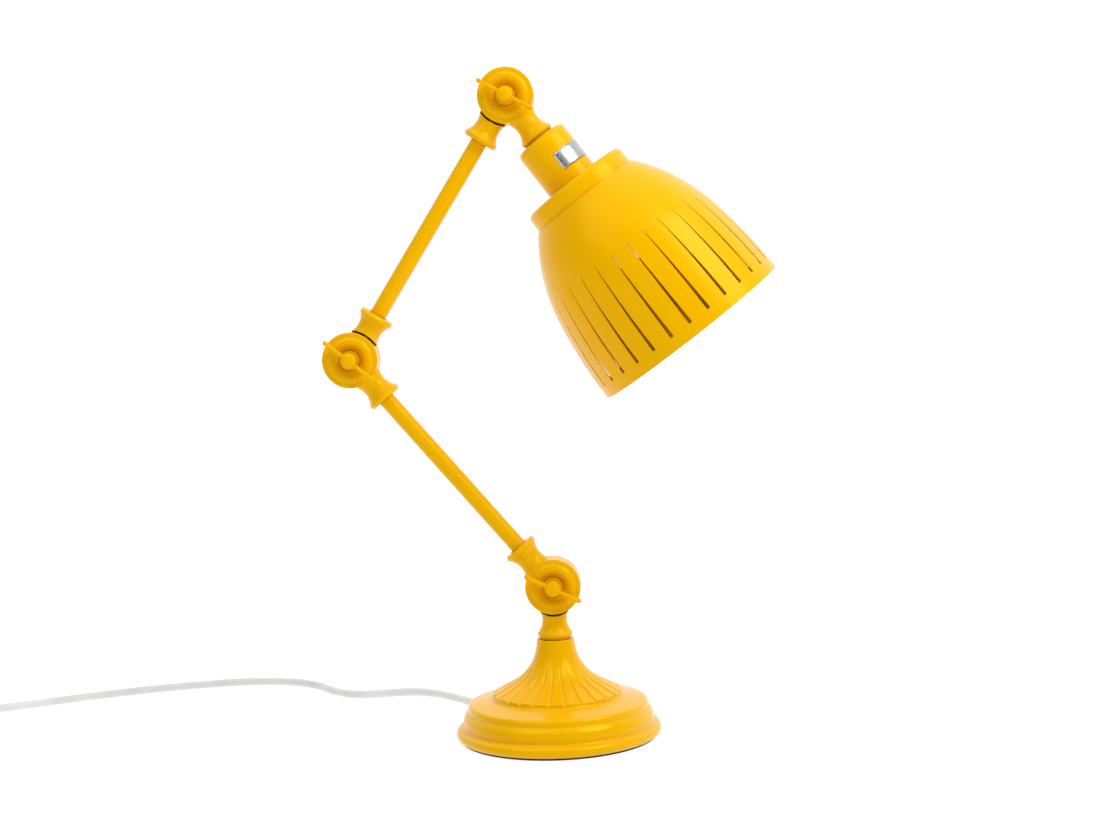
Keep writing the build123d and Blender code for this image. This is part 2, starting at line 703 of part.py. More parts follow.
holder_wall = 3.0
with BuildPart() as lampholder:
    with BuildSketch(head_plane):
        with BuildLine():
            Polyline(
                (HOLDER_AT, NIPPLE_R + FIT_GAP),
                (HOLDER_AT, HOLDER_CAP_R - 2),
                (HOLDER_AT + 2, HOLDER_CAP_R),
                (SHADE_SEAT - HOLDER_SHOULDER_T - 2, HOLDER_CAP_R),
                (SHADE_SEAT - HOLDER_SHOULDER_T, HOLDER_SHOULDER_R),
                (SHADE_SEAT - SEAT_GAP, HOLDER_SHOULDER_R),
                (SHADE_SEAT - SEAT_GAP, HOLDER_SKIRT_R),
                (HOLDER_END, HOLDER_SKIRT_R),
                (HOLDER_END, BULB_CAP_R + 1.2 + FIT_GAP),
                (HOLDER_END - BULB_CAP_LEN, BULB_CAP_R + 1.2 + FIT_GAP),
                (HOLDER_END - BULB_CAP_LEN, 2.5),
                (HOLDER_FLOOR + holder_wall, 2.5),
                (HOLDER_FLOOR + holder_wall, 0),
                (HOLDER_FLOOR, 0),
                (HOLDER_FLOOR, NIPPLE_R + FIT_GAP),
                (HOLDER_AT, NIPPLE_R + FIT_GAP),
            )
        make_face()
    revolve(axis=head_axis)
save(lampholder, "lampholder")

with BuildPart() as lampholder_shell:
    with BuildSketch(across(TOP, HEAD_ANGLE, HOLDER_END - 3)):
        Circle(BULB_CAP_R + 1.2)
        Circle(BULB_CAP_R + 0.2, mode=Mode.SUBTRACT)
    extrude(amount=-(BULB_CAP_LEN - 4))
save(lampholder_shell, "lampholder_shell")

with BuildPart() as head_lead:
    with BuildSketch(across(TOP, HEAD_ANGLE, DISC_R + 2)):
        Circle(LEAD_R)
    extrude(amount=HOLDER_FLOOR - DISC_R - 2)
save(head_lead, "head_lead")

# Shade: flat seat, collar, bell of two tangent arcs, tapered slots all round
rim_draft = radians(RIM_DRAFT)
side_centre = (RIM_AT + BELL_SIDE_R * sin(rim_draft), RIM_R - BELL_SIDE_R * cos(rim_draft))
join = (BELL_JOIN_AT, circle_point(side_centre, BELL_SIDE_R, BELL_JOIN_AT))
share = BELL_SHOULDER_R / BELL_SIDE_R
shoulder_centre = (
    join[0] + (side_centre[0] - join[0]) * share,
    join[1] + (side_centre[1] - join[1]) * share,
)


def bell(at, depth):
    """Point of the bell at a station along the head, depth into the skin."""
    if at >= BELL_JOIN_AT:
        return (at, circle_point(side_centre, BELL_SIDE_R - depth, at))
    return (at, circle_point(shoulder_centre, BELL_SHOULDER_R - depth, at))


def bell_join(depth):
    """Point where the two arcs meet, depth into the skin."""
    reach = (BELL_SIDE_R - depth) / BELL_SIDE_R
    return (
        side_centre[0] + (join[0] - side_centre[0]) * reach,
        side_centre[1] + (join[1] - side_centre[1]) * reach,
    )


seat_hole = HOLDER_SKIRT_R + 3 * FIT_GAP
collar_r = bell(COLLAR_END, 0)[1] - COLLAR_STEP
with BuildPart() as shade:
    with BuildSketch(head_plane):
        inner_end = COLLAR_END + SKIN
        with BuildLine():
            Line((SHADE_SEAT, seat_hole), (SHADE_SEAT, collar_r - COLLAR_ROUND))
            RadiusArc(
                (SHADE_SEAT, collar_r - COLLAR_ROUND),
                (SHADE_SEAT + COLLAR_ROUND, collar_r),
                COLLAR_ROUND,
            )
            Polyline((SHADE_SEAT + COLLAR_ROUND, collar_r), (COLLAR_END, collar_r), bell(COLLAR_END, 0))
            ThreePointArc(bell(COLLAR_END, 0), bell((COLLAR_END + BELL_JOIN_AT) / 2, 0), bell_join(0))
            ThreePointArc(bell_join(0), bell((RIM_AT + BELL_JOIN_AT) / 2, 0), bell(RIM_AT, 0))
            Line(bell(RIM_AT, 0), bell(RIM_AT, SKIN))
            ThreePointArc(bell(RIM_AT, SKIN), bell((RIM_AT + BELL_JOIN_AT) / 2, SKIN), bell_join(SKIN))
            ThreePointArc(bell_join(SKIN), bell((inner_end + BELL_JOIN_AT) / 2, SKIN), bell(inner_end, SKIN))
            Polyline(
                bell(inner_end, SKIN),
                (inner_end, collar_r - SKIN),
                (SHADE_SEAT + COLLAR_ROUND, collar_r - SKIN),
            )
            RadiusArc(
                (SHADE_SEAT + COLLAR_ROUND, collar_r - SKIN),
                (SHADE_SEAT + SKIN, collar_r - COLLAR_ROUND),
                -(COLLAR_ROUND - SKIN),
            )
            Polyline(
                (SHADE_SEAT + SKIN, collar_r - COLLAR_ROUND),
                (SHADE_SEAT + SKIN, seat_hole),
                (SHADE_SEAT, seat_hole),
            )
        make_face()
    revolve(axis=head_axis)
    head_dir = heading(HEAD_ANGLE)
    front = Vector(0, -1, 0)
    upward = front.cross(head_dir)
    slot_r = SLOT_W / 2
    slot_at = SLOT_END_AT - slot_r
    for number in range(SLOTS):
        turn = radians(SLOT_TURN + number * 360 / SLOTS)
        outward = front * cos(turn) + upward * sin(turn)
        with BuildSketch(Plane(origin=TOP + outward * collar_r, x_dir=head_dir, z_dir=outward)):
            with BuildLine():
                Polyline(
                    (slot_at, -slot_r),
                    (SLOT_TIP_AT, -SLOT_TIP_W / 2),
                    (SLOT_TIP_AT, SLOT_TIP_W / 2),
                    (slot_at, slot_r),
                )
                ThreePointArc((slot_at, slot_r), (SLOT_END_AT, 0), (slot_at, -slot_r))
            make_face()
        extrude(amount=RIM_R - collar_r + 5, mode=Mode.SUBTRACT)
save(shade, "shade")

with BuildPart() as shade_ring:
    with BuildSketch(across(TOP, HEAD_ANGLE, SHADE_SEAT + SKIN + SEAT_GAP)):
        Circle(SHADE_RING_R)
        Circle(HOLDER_SKIRT_R + FIT_GAP, mode=Mode.SUBTRACT)
    extrude(amount=SHADE_RING_T)
    chamfer(shade_ring.edges().filter_by(GeomType.CIRCLE).sort_by(SortBy.RADIUS)[-2:], 0.8)
save(shade_ring, "shade_ring")

cap_at = HOLDER_END - BULB_CAP_LEN + 0.3
with BuildPart() as bulb_cap:
    with BuildSketch(head_plane):
        with BuildLine():
            Polyline(
                (cap_at, 0),
                (cap_at, 2.2),
                (cap_at + 2.5, BULB_CAP_R),
                (HOLDER_END + 1, BULB_CAP_R),
                (HOLDER_END + 1, 0),
                (cap_at, 0),
            )
        make_face()
    revolve(axis=head_axis)
save(bulb_cap, "bulb_cap")

glass_at = HOLDER_END + 1
ball_centre = HOLDER_END + BULB_CENTRE_GAP
shoulder_angle = radians(35)
with BuildPart() as bulb_glass:
    with BuildSketch(head_plane):
        shoulder = (ball_centre - BULB_R * cos(shoulder_angle), BULB_R * sin(shoulder_angle))
        with BuildLine():
            Polyline((glass_at, 0), (glass_at, BULB_NECK_R), (glass_at + 4, BULB_NECK_R), shoulder)
            ThreePointArc(
                shoulder,
                (ball_centre + BULB_R * cos(radians(75)), BULB_R * sin(radians(75))),
                (ball_centre + BULB_R, 0),
            )
            Line((ball_centre + BULB_R, 0), (glass_at, 0))
        make_face()
    revolve(axis=head_axis)
save(bulb_glass, "bulb_glass")


# Cord: free stretches are straight runs joined by tangent arcs, no two runs in line
def cord_radii(points):
    """Arc radius for each corner of a route: 0.45 of its shorter run over the tangent of half the turn."""
    places = [Vector(*point) for point in points]
    radii = []
    for before, corner, after in zip(places, places[1:], places[2:]):
        turn = radians((corner - before).get_angle(after - corner))
        shorter = min((corner - before).length, (after - corner).length)
        radii.append(0.45 * shorter / tan(turn / 2))
    return radii


def cord_stretch(name, points):
    """A free stretch of cord as a tube, with its least radius and length printed."""
    radii = cord_radii(points)
    with BuildPart() as stretch:
        with BuildLine() as route:
            FilletPolyline(*points, radius=radii)
        with BuildSketch(Plane(route.wire() @ 0, z_dir=route.wire() % 0)):
            Circle(CORD_R)
        sweep(path=route.wire())
    save(stretch, name)
    length = route.wire().length
    expected = pi * CORD_R**2 * length
    print(name, "length", round(length, 1), "volume share", round(stretch.part.volume / expected, 4))
    print("  radii", [round(radius, 1) for radius in radii])
    return length


exit_point = exit_dir * gland_tip + Vector(0, 0, EXIT_Z)
switch_rear = SWITCH_Y + SWITCH_L / 2 + SWITCH_COLLAR_L
switch_front = SWITCH_Y - SWITCH_L / 2 - SWITCH_COLLAR_L
FLOOR_Z = CORD_R + 0.05
LAMP_ROUTE = [
    tuple(exit_point),
    tuple(exit_point + exit_dir * 29),
    (-107.0, 147.6, FLOOR_Z),
    (-130.5, 160.0, FLOOR_Z),
    (-175.2, 149.8, FLOOR_Z),
    (-198.9, 168.5, FLOOR_Z),
    (-216.0, 195.9, FLOOR_Z),
    (-240.0, 214.0, FLOOR_Z),
    (-271.0, 222.0, FLOOR_Z),
    (-306.0, 220.0, FLOOR_Z),
    (-341.0, 212.0, FLOOR_Z),
    (-377.0, 200.0, FLOOR_Z),
    (-411.0, 185.5, FLOOR_Z),
    (-441.0, 170.5, FLOOR_Z),
    (-465.5, 157.0, FLOOR_Z),
    (-485.5, 143.5, 4.2),
    (-502.0, 128.5, 5.8),
    (SWITCH_X, switch_rear + 13, SWITCH_CORD_Z),
    (SWITCH_X, switch_rear, SWITCH_CORD_Z),
]
COIL_Z = CORD_R + COIL_LIFT
COIL_STRAIGHT = 2 * CORD_R
coil_centre = Vector(SWITCH_X - COIL_R, -4, 0)
coil_start = coil_centre + Vector(COIL_R, COIL_STRAIGHT, COIL_Z)
SWITCH_ROUTE = [
    (SWITCH_X, switch_front, SWITCH_CORD_Z),
    (SWITCH_X, switch_front - 7.5, SWITCH_CORD_Z),
    (SWITCH_X, coil_start.Y + 7.5, COIL_Z),
    tuple(coil_start),
]
lamp_length = cord_stretch("cord_lamp_stretch", LAMP_ROUTE)
switch_length = cord_stretch("cord_switch_stretch", SWITCH_ROUTE)


# Coil: spirals in on the floor, climbs in the half turn where it reverses, spirals out on top
def coil_state(turn):
    """Place and heading of the cord's centre after a number of turns, clockwise from above."""
    middle = COIL_TURNS / 2
    radius = COIL_R - COIL_PITCH * min(turn, COIL_TURNS - turn)
    inward = -COIL_PITCH if turn < middle else COIL_PITCH
    if abs(turn - middle) < 1e-6:
        inward = 0
    rise_turns = COIL_TURNS - 2 * COIL_CLIMB_FROM
    part = min(max((turn - COIL_CLIMB_FROM) / rise_turns, 0), 1)
    height = COIL_Z + COIL_PITCH * part**2 * (3 - 2 * part)
    climb = COIL_PITCH * 6 * part * (1 - part) / rise_turns
    angle = -2 * pi * turn
    place = coil_centre + Vector(radius * cos(angle), radius * sin(angle), height)
    if turn in (0, COIL_TURNS):
        inward = 0
    speed = Vector(
        inward * cos(angle) + 2 * pi * radius * sin(angle),
        inward * sin(angle) - 2 * pi * radius * cos(angle),
        climb,
    )
    return place, speed.normalized()


def biarc_middle(start, start_dir, end, end_dir):
    """Point where two tangent arcs meet between two places with given headings."""
    chord = end - start
    both = start_dir + end_dir
    spread = 2 * (1 - start_dir.dot(end_dir))
    lead = chord.dot(both)
    arm_length = (-lead + sqrt(lead**2 + spread * chord.dot(chord))) / spread
    return (start + start_dir * arm_length + end - end_dir * arm_length) * 0.5


quarter_turns = round(COIL_TURNS * 4)
with BuildPart() as cord_coil:
    with BuildLine() as coil_path:
        place, direction = coil_state(0)
        Line(place - direction * COIL_STRAIGHT, place)
        for quarter in range(quarter_turns):
            next_place, next_direction = coil_state((quarter + 1) / 4)
            middle = biarc_middle(place, direction, next_place, next_direction)
            first = TangentArc(place, middle, tangent=direction)
            TangentArc(middle, next_place, tangent=first % 1)
            place, direction = next_place, next_direction
        Line(place, place + direction * COIL_STRAIGHT)
    with BuildSketch(Plane(coil_path.wire() @ 0, z_dir=coil_path.wire() % 0)):
        Circle(CORD_R)
    sweep(path=coil_path.wire())
save(cord_coil, "cord_coil")
coil_wire = coil_path.wire()
coil_length = coil_wire.length

# Least gap of the coil to itself, measured on points half a turn or more apart
samples = [coil_wire @ (k / 720) for k in range(721)]
apart = ceil(720 * 0.5 / COIL_TURNS)
least = min(
    (samples[i] - samples[j]).length for i in range(0, 721, 2) for j in range(i + apart, 721)
)
print("cord_coil length", round(coil_length, 1), "least gap", round(least - 2 * CORD_R, 3))
print("  volume share", round(cord_coil.part.volume / (pi * CORD_R**2 * coil_length), 4))

# Tail from the coil's top turn down to the plug
tail_start = place + direction * COIL_STRAIGHT
PLUG_Z = PLUG_T / 2
plug_root = Vector(tail_start.X + 6, tail_start.Y + 60, PLUG_Z)
TAIL_ROUTE = [
    tuple(tail_start),
    (tail_start.X, tail_start.Y + 14, tail_start.Z),
    (tail_start.X + 3.2, tail_start.Y + 30, tail_start.Z - 2.6),
    (plug_root.X, plug_root.Y - 14, PLUG_Z),
    tuple(plug_root),
]
tail_length = cord_stretch("cord_tail", TAIL_ROUTE)
total = lamp_length + switch_length + coil_length + tail_length + SWITCH_L + 2 * SWITCH_COLLAR_L
print("cord, gland to plug", round(total + BOOT_LEN + PLUG_BOOT_L, 1))

# Tie round the coil's turns on its near side
tie_outer = COIL_R - COIL_PITCH / 4 + CORD_R + 0.3
tie_inner = COIL_R - COIL_PITCH * COIL_TURNS / 2 - CORD_R - 0.3
tie_y = coil_centre.Y - (tie_outer + tie_inner) / 2
tie_inner_w = tie_outer - tie_inner
tie_inner_h = COIL_LIFT + COIL_PITCH + 2 * CORD_R + 0.3 - TIE_T
with BuildPart() as cord_tie:
    with BuildSketch(Plane.YZ.offset(coil_centre.X - TIE_W / 2)):
        with Locations((tie_y, TIE_T + tie_inner_h / 2)):
            RectangleRounded(tie_inner_w + 2 * TIE_T, tie_inner_h + 2 * TIE_T, CORD_R)
            RectangleRounded(tie_inner_w, tie_inner_h, CORD_R - TIE_T, mode=Mode.SUBTRACT)
    extrude(amount=TIE_W)
save(cord_tie, "cord_tie")

# In-line rocker switch: two shells, terminals and the rocker
switch_floor = Plane.XY.shift_origin((SWITCH_X, SWITCH_Y, 0))
shell_round = 8.0
inner_w = SWITCH_W - 2 * SWITCH_WALL
inner_l = SWITCH_L - 2 * SWITCH_WALL
collars = [
    Plane(origin=(SWITCH_X, SWITCH_Y + end * SWITCH_L / 2, SWITCH_CORD_Z), z_dir=(0, end, 0))
    for end in (1, -1)
]
with BuildPart() as switch_lower_shell:
    with BuildSketch(switch_floor):
        RectangleRounded(SWITCH_W, SWITCH_L, shell_round)
    extrude(amount=SWITCH_SPLIT)
    fillet(switch_lower_shell.faces().sort_by(Axis.Z)[0].edges(), 2.5)
    with BuildSketch(switch_floor.offset(SWITCH_WALL)):
        RectangleRounded(inner_w, inner_l, shell_round - SWITCH_WALL)
    extrude(amount=SWITCH_SPLIT, mode=Mode.SUBTRACT)
    for collar in collars:
        with BuildSketch(collar.offset(-SWITCH_WALL)):
            Circle(SWITCH_COLLAR_R)
        extrude(amount=SWITCH_COLLAR_L + SWITCH_WALL)
save(switch_lower_shell, "switch_lower_shell")

cap_floor = SWITCH_SPLIT + SEAT_GAP
with BuildPart() as switch_upper_shell:
    with BuildSketch(switch_floor.offset(cap_floor)):
        RectangleRounded(SWITCH_W, SWITCH_L, shell_round)
    extrude(amount=SWITCH_H - cap_floor)
    fillet(switch_upper_shell.faces().sort_by(Axis.Z)[-1].edges(), 3.5)
    with BuildSketch(switch_floor.offset(cap_floor)):
        Rectangle(ROCKER_W + 3, WINDOW_L + 6)
    extrude(amount=SWITCH_H - cap_floor - SWITCH_WALL, mode=Mode.SUBTRACT)
    with BuildSketch(switch_floor.offset(cap_floor)):
        Rectangle(WINDOW_W, WINDOW_L)
    extrude(amount=SWITCH_H, mode=Mode.SUBTRACT)
    with BuildSketch(Plane(origin=(SWITCH_X, SWITCH_Y, ROCKER_PIVOT_Z), z_dir=(1, 0, 0))):
        Circle(ROCKER_PIN_R + FIT_GAP)
    extrude(amount=ROCKER_W / 2 + 3.2, both=True, mode=Mode.SUBTRACT)
    for collar in collars:
        with BuildSketch(collar.offset(-SWITCH_WALL - 1)):
            Circle(SWITCH_COLLAR_R + FIT_GAP)
        extrude(amount=SWITCH_COLLAR_L + SWITCH_WALL + 1, mode=Mode.SUBTRACT)
save(switch_upper_shell, "switch_upper_shell")

with BuildPart() as switch_terminals:
    with BuildSketch(switch_floor.offset(SWITCH_WALL)):
        with GridLocations(0, 34, 1, 2):
            Rectangle(7, 9)
    extrude(amount=5)
save(switch_terminals, "switch_terminals")

tilt = radians(ROCKER_TILT)
rocker_plane = Plane(
    origin=(SWITCH_X, SWITCH_Y, ROCKER_PIVOT_Z),
    x_dir=(0, cos(tilt), -sin(tilt)),
    z_dir=(1, 0, 0),
)
rocker_top = SWITCH_H - ROCKER_PIVOT_Z
with BuildPart() as switch_rocker:
    with BuildSketch(rocker_plane):
        with BuildLine():
            ThreePointArc(
                (-ROCKER_L / 2, rocker_top + 0.6),
                (0, rocker_top - 0.8),
                (ROCKER_L / 2, rocker_top + 0.6),
            )
            Polyline(
                (ROCKER_L / 2, rocker_top + 0.6),
                (ROCKER_L / 2, 1.5),
                (4, -1.3),
                (-4, -1.3),
                (-ROCKER_L / 2, 1.5),
                (-ROCKER_L / 2, rocker_top + 0.6),
            )
        make_face()
    extrude(amount=ROCKER_W / 2, both=True)
    fillet(switch_rocker.edges().filter_by(GeomType.CIRCLE), 0.5)
    with BuildSketch(rocker_plane):
        Circle(ROCKER_PIN_R)
    extrude(amount=ROCKER_W / 2 + 2.9, both=True)
save(switch_rocker, "switch_rocker")

# Plug: flat two-pin body with a tapered boot
plug_face = plug_root.Y + PLUG_BOOT_L + PLUG_L
with BuildPart() as plug_body:
    with BuildSketch(Plane.XY.shift_origin((plug_root.X, plug_root.Y + PLUG_BOOT_L, 0))):
        with BuildLine():
            Polyline(
                (-7, 0),
                (-PLUG_W / 2, 15),
                (-PLUG_W / 2, PLUG_L - 5),
                (-PLUG_W / 2 + 4, PLUG_L),
                (PLUG_W / 2 - 4, PLUG_L),
                (PLUG_W / 2, PLUG_L - 5),
                (PLUG_W / 2, 15),
                (7, 0),
                (-7, 0),
            )
        make_face()
    extrude(amount=PLUG_T)
    fillet(plug_body.edges().filter_by(Axis.Z), 3)
    fillet(plug_body.faces().sort_by(Axis.Z)[-1].edges(), 2.5)
    with BuildSketch(
        Plane(origin=(plug_root.X, plug_root.Y, PLUG_Z), x_dir=(0, 1, 0), z_dir=(0, 0, 1))
    ):
        with BuildLine():
            Polyline(
                (0, 0),
                (0, BOOT_TIP_R + 0.2),
                (PLUG_BOOT_L, BOOT_ROOT_R + 1),
                (PLUG_BOOT_L + 6, BOOT_ROOT_R + 1),
                (PLUG_BOOT_L + 6, 0),
                (0, 0),
            )
        make_face()
    revolve(axis=Axis((plug_root.X, plug_root.Y, PLUG_Z), Y_AXIS))
save(plug_body, "plug_body")

with BuildPart() as plug_pins:
    with BuildSketch(Plane(origin=(plug_root.X, plug_face, PLUG_Z), x_dir=(1, 0, 0), z_dir=Y_AXIS)):
        with Locations((-PIN_SPACING / 2, 0), (PIN_SPACING / 2, 0)):
            Circle(PIN_R)
    extrude(amount=PIN_LEN)
    fillet(plug_pins.faces().sort_by(Axis.Y)[-2:].edges(), 1.2)
save(plug_pins, "plug_pins")

print("knuckles", [tuple(round(value, 2) for value in point) for point in (LOW, MID, TOP)])
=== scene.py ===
"""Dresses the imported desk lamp: finishes, cord, foil label, whole middle screw and studio.

Metres, in the same frame as the CAD: the origin is on the resting plane under the base's axis,
+Z is up, the arms fold in the XZ plane and the wing screws face -Y.
"""

import json
from math import cos, pi, radians, sin

import bmesh
import bpy
from bpy.props import (
    FloatProperty,
    FloatVectorProperty,
    IntProperty,
    PointerProperty,
    StringProperty,
)
from mathutils import Matrix, Vector


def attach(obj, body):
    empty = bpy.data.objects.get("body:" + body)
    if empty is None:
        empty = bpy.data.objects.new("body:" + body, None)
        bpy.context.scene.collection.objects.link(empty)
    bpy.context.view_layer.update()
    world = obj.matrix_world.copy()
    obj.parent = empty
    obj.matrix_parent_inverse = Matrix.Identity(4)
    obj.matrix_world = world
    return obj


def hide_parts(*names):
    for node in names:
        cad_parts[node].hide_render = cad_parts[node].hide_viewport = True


bl_info = {
    "name": "Desk Lamp Dressing",
    "version": (1, 0, 0),
    "blender": (4, 5, 0),
    "location": "3D View > Sidebar > Desk Lamp",
    "description": "Finishes, cord, foil label and studio for an articulated desk lamp",
    "category": "Object",
}

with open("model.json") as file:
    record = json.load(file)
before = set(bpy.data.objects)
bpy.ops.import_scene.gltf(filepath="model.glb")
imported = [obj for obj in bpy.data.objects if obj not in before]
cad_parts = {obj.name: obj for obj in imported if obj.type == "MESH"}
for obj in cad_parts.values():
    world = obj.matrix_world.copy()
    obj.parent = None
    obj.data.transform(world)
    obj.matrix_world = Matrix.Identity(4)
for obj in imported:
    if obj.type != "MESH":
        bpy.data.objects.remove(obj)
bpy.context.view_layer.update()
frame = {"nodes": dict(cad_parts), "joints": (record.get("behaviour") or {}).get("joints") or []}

MM = 0.001
JOINT_AT = {joint["name"]: Vector(joint["pos_m"]) for joint in frame["joints"]}
HEAD_AT = JOINT_AT["head_hinge"]
HEAD_SLOPE = radians(-54)
HEAD_DIR = Vector((cos(HEAD_SLOPE), 0, sin(HEAD_SLOPE)))
FRONT = Vector((0, -1, 0))
SHARP_FROM = radians(30)
MERGE_WITHIN = 0.001 * MM

# Outside of the socket cup, and the glue between it and the label
CUP_RADIUS = 20.7 * MM
GLUE = 0.03 * MM
LABEL_CORNER = 0.9 * MM
LABEL_ROWS = 7
LABEL_STEPS = 24

# A face of the shade is inside it where its normal leans this far towards the axis; inside faces
# get the painted shade of the inner finish
INWARD = -0.3

# The photograph's picture size and the camera's distance to its picture plane, in its pixels
IMAGE_SIZE = (1100, 824)
FOCAL_PIXELS = 1854.41
SENSOR_WIDTH = 36.0


# Values that a user would change
class LampFinish(bpy.types.PropertyGroup):
    """Colours, the painted shade in corners and the surface relief of the lamp's finishes."""

    paint: StringProperty(
        name="Paint", description="Colour of the baked paint, sRGB hex", default="#F0B400"
    )
    # Painted shade: the dark brown that ambient occlusion mixes into corners and creases, standing
    # in for shade there
    painted_corner_shade: StringProperty(
        name="Paint in corners", description="Colour where the paint lies thick", default="#8F5400"
    )
    peel: FloatProperty(
        name="Orange peel",
        description="Width of the paint's waves",
        default=2.2 * MM,
        unit="LENGTH",
    )
    peel_depth: FloatProperty(
        name="Peel depth",
        description="Height of the paint's waves",
        default=0.004 * MM,
        unit="LENGTH",
    )


class LampCord(bpy.types.PropertyGroup):
    """The free cord: its size and its stored coil."""

    diameter: FloatProperty(
        name="Diameter", description="Outside of the sheath", default=6.5 * MM, unit="LENGTH"
    )
    length: FloatProperty(
        name="Length", description="From the base to the plug", default=1.75, unit="LENGTH"
    )
    coil_radius: FloatProperty(
        name="Coil radius",
        description="Outermost turn's centreline",
        default=44.2 * MM,
        unit="LENGTH",
    )
    coil_pitch: FloatProperty(
        name="Coil pitch",
        description="Between turns and between layers",
        default=7.0 * MM,
        unit="LENGTH",
    )
    coil_turns: FloatProperty(name="Coil turns", description="Turns in both layers", default=4.5)
    coil_lift: FloatProperty(
        name="Coil lift",
        description="Room for the tie below the coil",
        default=0.9 * MM,
        unit="LENGTH",
    )


class LampScrews(bpy.types.PropertyGroup):
    """How the middle wing screw stands."""

    mid_turn: FloatProperty(
        name="Middle screw",
        description="Turn from the lowest screw's attitude, clockwise from the front",
        default=radians(13.3),
        subtype="ANGLE",
    )


class LampLabel(bpy.types.PropertyGroup):
    """The foil label on the socket cup."""

    start: FloatProperty(
        name="Start",
        description="Along the head from the knuckle's axis",
        default=57.6 * MM,
        unit="LENGTH",
    )
    length: FloatProperty(
        name="Length", description="Along the head", default=14.5 * MM, unit="LENGTH"
    )
    turn_from: FloatProperty(
        name="Turn from",
        description="First edge, from the front",
        default=radians(0.5),
        subtype="ANGLE",
    )
    turn_to: FloatProperty(
        name="Turn to",
        description="Second edge, from the front",
        default=radians(108),
        subtype="ANGLE",
    )
    thickness: FloatProperty(
        name="Thickness", description="Foil and glue", default=0.12 * MM, unit="LENGTH"
    )


class LampStudio(bpy.types.PropertyGroup):
    """Camera, lights and floor."""

    camera_at: FloatVectorProperty(
        name="Camera",
        description="Place of the camera",
        default=(0.04468, -1.41159, 0.3513),
        subtype="TRANSLATION",
    )
    yaw: FloatProperty(
        name="Yaw", description="To the left", default=radians(1.694), subtype="ANGLE"
    )
    pitch: FloatProperty(
        name="Pitch", description="Downwards", default=radians(4.072), subtype="ANGLE"
    )
    roll: FloatProperty(
        name="Roll", description="Clockwise", default=radians(2.341), subtype="ANGLE"
    )
    key_power: FloatProperty(name="Key light", description="Watts", default=13.5)
    fill_power: FloatProperty(name="Fill light", description="Watts", default=3.6)
    overhead: FloatProperty(name="Overhead", description="Soft light from above", default=0.8)
    backdrop: FloatProperty(
        name="Backdrop", description="Brightness behind the lamp", default=1.04
    )
    room: FloatProperty(
        name="Room", description="Brightness of the studio in front", default=0.12
    )
    floor: StringProperty(
        name="Floor", description="Colour of the floor, sRGB hex", default="#8C8C8C"
    )
    floor_glow: FloatProperty(
        name="Floor glow", description="Light from below the floor", default=0.8
    )
    floor_sides: IntProperty(
        name="Floor sides", description="Sides of the round floor", default=96
    )


# Shading helpers
def hex_linear(code):
    """Linear RGBA of an sRGB hex colour."""
    channels = [int(code[k : k + 2], 16) / 255 for k in (1, 3, 5)]
    linear = [c / 12.92 if c <= 0.04045 else ((c + 0.055) / 1.055) ** 2.4 for c in channels]
    return (*linear, 1.0)


def add(tree, kind, values=None, links=None, **settings):
    """Add a node with its settings, its sockets' values and the links into it."""
    node = tree.nodes.new(kind)
    for name, value in settings.items():
        setattr(node, name, value)
    for socket, value in (values or {}).items():
        node.inputs[socket].default_value = value
    for socket, source in (links or {}).items():
        tree.links.new(source, node.inputs[socket])
    return node


def new_material(name):
    """An empty node material with its output, and the output node."""
    material = bpy.data.materials.new(name)
    material.use_nodes = True
    tree = material.node_tree
    tree.nodes.clear()
    return material, tree, tree.nodes.new("ShaderNodeOutputMaterial")


def object_place(tree):
    """Object coordinates, in metres."""
    return add(tree, "ShaderNodeTexCoord").outputs["Object"]


def noise(tree, place, size, detail=3.0, rough=0.5):
    """Noise whose waves are about size metres wide."""
    return add(
        tree,
        "ShaderNodeTexNoise",
        values={"Scale": 1 / size, "Detail": detail, "Roughness": rough},
        links={"Vector": place},
    )


def spread(tree, source, low, high):
    """Noise factor spread over a range of values."""
    return add(
        tree,
        "ShaderNodeMapRange",
        values={"From Min": 0.3, "From Max": 0.7, "To Min": low, "To Max": high},
        links={"Value": source},
    ).outputs["Result"]


def relief(tree, height, depth, strength=1.0, under=None):
    """Bump of a given depth in metres, over another bump if there is one."""
    links = {"Height": height}
    if under is not None:
        links["Normal"] = under
    return add(
        tree, "ShaderNodeBump", values={"Strength": strength, "Distance": depth}, links=links
    ).outputs["Normal"]


def blend_colours(tree, factor, first, second):
    """Mix of two hex colours by a factor socket."""
    mix = add(tree, "ShaderNodeMix", data_type="RGBA", links={"Factor": factor})
    mix.inputs["A"].default_value = hex_linear(first)
    mix.inputs["B"].default_value = hex_linear(second)
    return mix.outputs["Result"]


